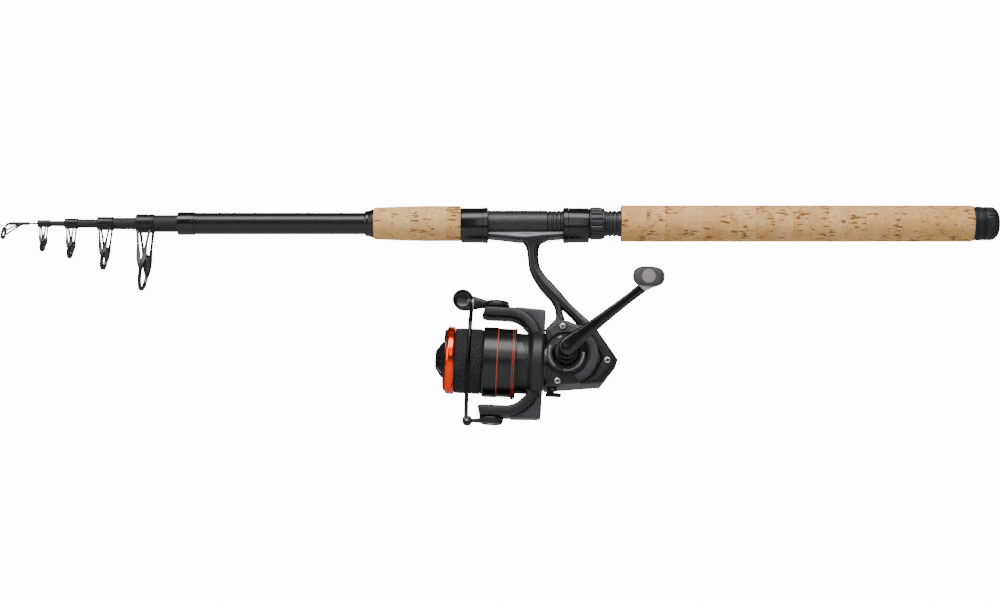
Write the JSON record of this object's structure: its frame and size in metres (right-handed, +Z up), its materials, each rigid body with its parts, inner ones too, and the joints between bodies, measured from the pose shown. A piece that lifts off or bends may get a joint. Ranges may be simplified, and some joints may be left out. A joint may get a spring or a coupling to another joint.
{
  "type": "telescopic fishing rod with spinning reel",
  "caption": "Telescopic rod with cork grips and a screw reel seat, carrying a spinning reel with bail, spool, crank and drag knob.",
  "frame": {"origin": "on the rod axis at the rear end of the rear cork grip", "axes": "+X along the rod towards the butt, so the tip points to -X; +Z up, the reel hangs to -Z; the crank is on -Y"},
  "size_m": [0.6984, 0.108, 0.1557],
  "materials": {
    "gloss_blank": "gloss",
    "gloss_black": "gloss",
    "cork": "natural",
    "seat_grey": "satin",
    "matte_black": "matte",
    "gasket_rubber": "matte",
    "cap_rubber": "matte",
    "dark_blank": "matte",
    "guide_black": "gloss",
    "guide_ceramic": "polished ceramic",
    "body_charcoal": "satin",
    "silver_steel": "bright",
    "steel": "machined",
    "gear_zinc": "machined die casting",
    "knob_grey": "satin",
    "cap_grey": "satin",
    "brass": "machined",
    "rotor_black": "satin",
    "satin_black": "satin",
    "bail_metal": "dark plated",
    "chrome": "polished",
    "nylon": "matte",
    "orange_anodised": "anodised",
    "braid": "braided"
  },
  "bodies": {
    "rod": {"butt_blank": "gloss_blank", "butt_collar": "gloss_black", "winding_check": "gloss_black", "fore_grip": "cork", "fixed_hood": "gloss_black", "seat_barrel": "seat_grey", "rear_grip": "cork", "butt_ferrule": "matte_black", "reel_body": "body_charcoal", "side_cover": "body_charcoal", "rear_guard": "matte_black", "cover_screws": "silver_steel", "drive_bearings": "steel", "pinion_bearing": "steel", "one_way_clutch": "steel"},
    "section_5": {"blank_5": "dark_blank", "guide_frame_5": "guide_black", "guide_ring_5": "guide_ceramic"},
    "section_4": {"blank_4": "dark_blank", "guide_frame_4": "guide_black", "guide_ring_4": "guide_ceramic"},
    "section_3": {"blank_3": "dark_blank", "guide_frame_3": "guide_black", "guide_ring_3": "guide_ceramic"},
    "section_2": {"blank_2": "dark_blank", "guide_frame_2": "guide_black", "guide_ring_2": "guide_ceramic"},
    "section_1": {"tip_blank": "dark_blank", "tip_frame": "guide_black", "tip_ring": "guide_ceramic"},
    "seat_hood": {"movable_hood": "gloss_black"},
    "seat_nut": {"lock_nut": "seat_grey"},
    "gasket": {"butt_gasket": "gasket_rubber"},
    "cap": {"butt_cap": "cap_rubber"},
    "crank": {"drive_gear": "gear_zinc", "crank_arm": "gloss_black", "knob_axle": "steel", "handle_cap": "gloss_black"},
    "knob": {"crank_knob": "knob_grey", "knob_cap": "cap_grey"},
    "rotor_unit": {"rotor": "rotor_black", "pinion": "brass", "rotor_nut": "steel", "bail_screws": "silver_steel", "bail_spring": "steel"},
    "bail": {"bail_arm": "satin_black", "bail_lever": "satin_black", "bail_wire": "bail_metal", "roller_screw": "silver_steel"},
    "roller": {"line_roller": "chrome"},
    "shaft": {"main_shaft": "steel", "oscillation_slider": "nylon", "drag_washers": "steel"},
    "spool_unit": {"spool": "satin_black", "spool_lip": "orange_anodised", "spool_line": "braid", "line_clip": "matte_black"},
    "drag": {"drag_knob": "matte_black"},
    "osc_wheel": {"oscillation_gear": "nylon"},
    "reverse_switch": {"reverse_lever": "matte_black"}
  },
  "joints": [
    {"name": "section_5_slide", "type": "slide", "parent": "rod", "child": "section_5", "axis": [-1, 0, 0], "range_m": [0, 0.34]},
    {"name": "section_4_slide", "type": "slide", "parent": "section_5", "child": "section_4", "axis": [-1, 0, 0], "range_m": [0, 0.34]},
    {"name": "section_3_slide", "type": "slide", "parent": "section_4", "child": "section_3", "axis": [-1, 0, 0], "range_m": [0, 0.34]},
    {"name": "section_2_slide", "type": "slide", "parent": "section_3", "child": "section_2", "axis": [-1, 0, 0], "range_m": [0, 0.34]},
    {"name": "section_1_slide", "type": "slide", "parent": "section_2", "child": "section_1", "axis": [-1, 0, 0], "range_m": [0, 0.34]},
    {"name": "seat_hood_slide", "type": "slide", "parent": "rod", "child": "seat_hood", "axis": [1, 0, 0], "range_m": [0, 0.006]},
    {"name": "lock_nut_turn", "type": "hinge", "parent": "seat_hood", "child": "seat_nut", "pos_m": [-0.2858, 0, 0], "axis": [1, 0, 0], "range_deg": [0, 720]},
    {"name": "gasket_slide", "type": "slide", "parent": "rod", "child": "gasket", "axis": [1, 0, 0], "range_m": [0, 0.012]},
    {"name": "butt_cap_turn", "type": "hinge", "parent": "gasket", "child": "cap", "pos_m": [0.012, 0, 0], "axis": [1, 0, 0], "range_deg": [0, 2880]},
    {"name": "crank_turn", "type": "hinge", "parent": "rod", "child": "crank", "pos_m": [-0.28546, 0, -0.09501], "axis": [0, 1, 0], "continuous": true},
    {"name": "knob_spin", "type": "hinge", "parent": "crank", "child": "knob", "pos_m": [-0.23353, -0.07, -0.05658], "axis": [0, 1, 0], "continuous": true},
    {"name": "rotor_turn", "type": "hinge", "parent": "rod", "child": "rotor_unit", "pos_m": [-0.32575, 0, -0.09941], "axis": [0.9986, 0, -0.0523], "continuous": true},
    {"name": "bail_swing", "type": "hinge", "parent": "rotor_unit", "child": "bail", "pos_m": [-0.33473, 0, -0.09894], "axis": [-0.0523, 0, -0.9986], "range_deg": [0, 110]},
    {"name": "roller_spin", "type": "hinge", "parent": "bail", "child": "roller", "pos_m": [-0.35652, 0, -0.05604], "axis": [0, 1, 0], "continuous": true},
    {"name": "shaft_stroke", "type": "slide", "parent": "rod", "child": "shaft", "axis": [0.9986, 0, -0.0523], "range_m": [-0.0065, 0.0065]},
    {"name": "spool_slip", "type": "hinge", "parent": "shaft", "child": "spool_unit", "pos_m": [-0.35171, 0, -0.09805], "axis": [0.9986, 0, -0.0523], "continuous": true},
    {"name": "drag_knob_turn", "type": "hinge", "parent": "shaft", "child": "drag", "pos_m": [-0.36968, 0, -0.0971], "axis": [0.9986, 0, -0.0523], "range_deg": [-1080, 0]},
    {"name": "osc_wheel_turn", "type": "hinge", "parent": "rod", "child": "osc_wheel", "pos_m": [-0.27112, 0.0056, -0.09826], "axis": [0, 1, 0], "continuous": true},
    {"name": "reverse_lever_turn", "type": "hinge", "parent": "rod", "child": "reverse_switch", "pos_m": [-0.29523, 0, -0.11903], "axis": [0.0523, 0, 0.9986], "range_deg": [0, 40]}
  ],
  "couplings": [
    {"joint": "seat_hood_slide", "follows": "lock_nut_turn", "m_per_rad": 0.00047746},
    {"joint": "gasket_slide", "follows": "butt_cap_turn", "m_per_rad": 0.00023873},
    {"joint": "rotor_turn", "follows": "crank_turn", "ratio": -4.4444},
    {"joint": "osc_wheel_turn", "follows": "crank_turn", "ratio": -0.5}
  ]
}
